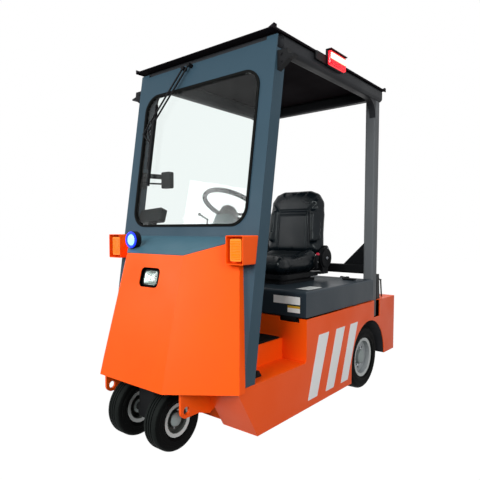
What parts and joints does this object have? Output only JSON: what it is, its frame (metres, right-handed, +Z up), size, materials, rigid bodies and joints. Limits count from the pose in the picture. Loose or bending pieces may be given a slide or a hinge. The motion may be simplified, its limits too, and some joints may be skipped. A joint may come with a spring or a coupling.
{
  "type": "airport baggage tug",
  "caption": "Small electric tow tractor with open cab: faceted nose, raked windscreen, seat on a hinged battery hood, steered twin front wheels and a rear drawbar coupling.",
  "frame": {"origin": "bottom centre of the bounding box, on the ground", "axes": "+Z up, front faces -Y, +X is the vehicle's left"},
  "size_m": [1.158, 2.106, 2],
  "materials": {
    "orange_paint": "gloss paint on folded sheet",
    "slate_paint": "satin paint",
    "dark_paint": "satin paint on tube and plate",
    "black_plastic": "moulded grain",
    "black_paint": "satin paint",
    "rubber": "moulded rubber",
    "tyre": "moulded tread rubber",
    "rim_metal": "silver wheel paint",
    "glass": "laminated sheet",
    "vinyl": "grained seat vinyl",
    "amber": "moulded lens",
    "lens": "moulded lens",
    "cast": "painted casting",
    "battery_case": "steel-cased cells"
  },
  "bodies": {
    "chassis": {"side_panels": "orange_paint", "floor_pan": "orange_paint", "floor_mat": "rubber", "battery_box": "orange_paint", "rear_deck": "orange_paint", "front_plates": "orange_paint", "steer_head": "cast", "lower_front": "orange_paint", "nose_panel": "orange_paint", "cowl_shelf": "slate_paint", "windscreen_frame": "slate_paint", "windscreen_seal": "rubber", "windscreen_glass": "glass", "wiper": "black_paint", "roof_sheet": "dark_paint", "roof_rails": "dark_paint", "pillar_brackets": "black_plastic", "rear_posts": "dark_paint", "crossbeam": "black_paint", "dash": "slate_paint", "steering_column": "black_plastic", "driver_controls": "black_plastic", "cab_devices": "black_plastic", "battery": "battery_case", "drive_axle": "cast", "wheel_wells": "dark_paint", "tow_coupling": "black_paint", "lamp_housings": "black_plastic", "lamp_lenses": "lens", "indicator_guards": "orange_paint", "indicator_lenses": "amber", "rear_fittings": "black_paint"},
    "hood": {"hood": "slate_paint", "hood_fittings": "black_plastic", "seat_base": "black_plastic", "seat_cushion": "vinyl", "seat_back": "vinyl"},
    "front_fork": {"fork": "cast"},
    "front_wheels": {"front_tyres": "tyre", "front_rims": "rim_metal"},
    "rear_wheel_left": {"rear_tyre_left": "tyre", "rear_rim_left": "rim_metal"},
    "rear_wheel_right": {"rear_tyre_right": "tyre", "rear_rim_right": "rim_metal"},
    "steering_wheel": {"steering_wheel": "black_plastic"}
  },
  "joints": [
    {"name": "fork_steer", "type": "hinge", "parent": "chassis", "child": "front_fork", "pos_m": [0, -0.904, 0.332], "axis": [0, 0, 1], "range_deg": [-75, 75]},
    {"name": "front_spin", "type": "hinge", "parent": "front_fork", "child": "front_wheels", "pos_m": [0, -0.904, 0.147], "axis": [1, 0, 0], "continuous": true},
    {"name": "rear_left_spin", "type": "hinge", "parent": "chassis", "child": "rear_wheel_left", "pos_m": [0.411, 0.5, 0.203], "axis": [1, 0, 0], "continuous": true},
    {"name": "rear_right_spin", "type": "hinge", "parent": "chassis", "child": "rear_wheel_right", "pos_m": [-0.411, 0.5, 0.203], "axis": [1, 0, 0], "continuous": true},
    {"name": "steering_turn", "type": "hinge", "parent": "chassis", "child": "steering_wheel", "pos_m": [0.045, -0.362, 1.172], "axis": [0, 0.515, 0.8572], "range_deg": [-540, 540]},
    {"name": "hood_lift", "type": "hinge", "parent": "chassis", "child": "hood", "pos_m": [0, 0.599, 0.705], "axis": [-1, 0, 0], "range_deg": [0, 60]}
  ],
  "couplings": [
    {"joint": "steering_turn", "follows": "fork_steer", "ratio": 7.2}
  ]
}
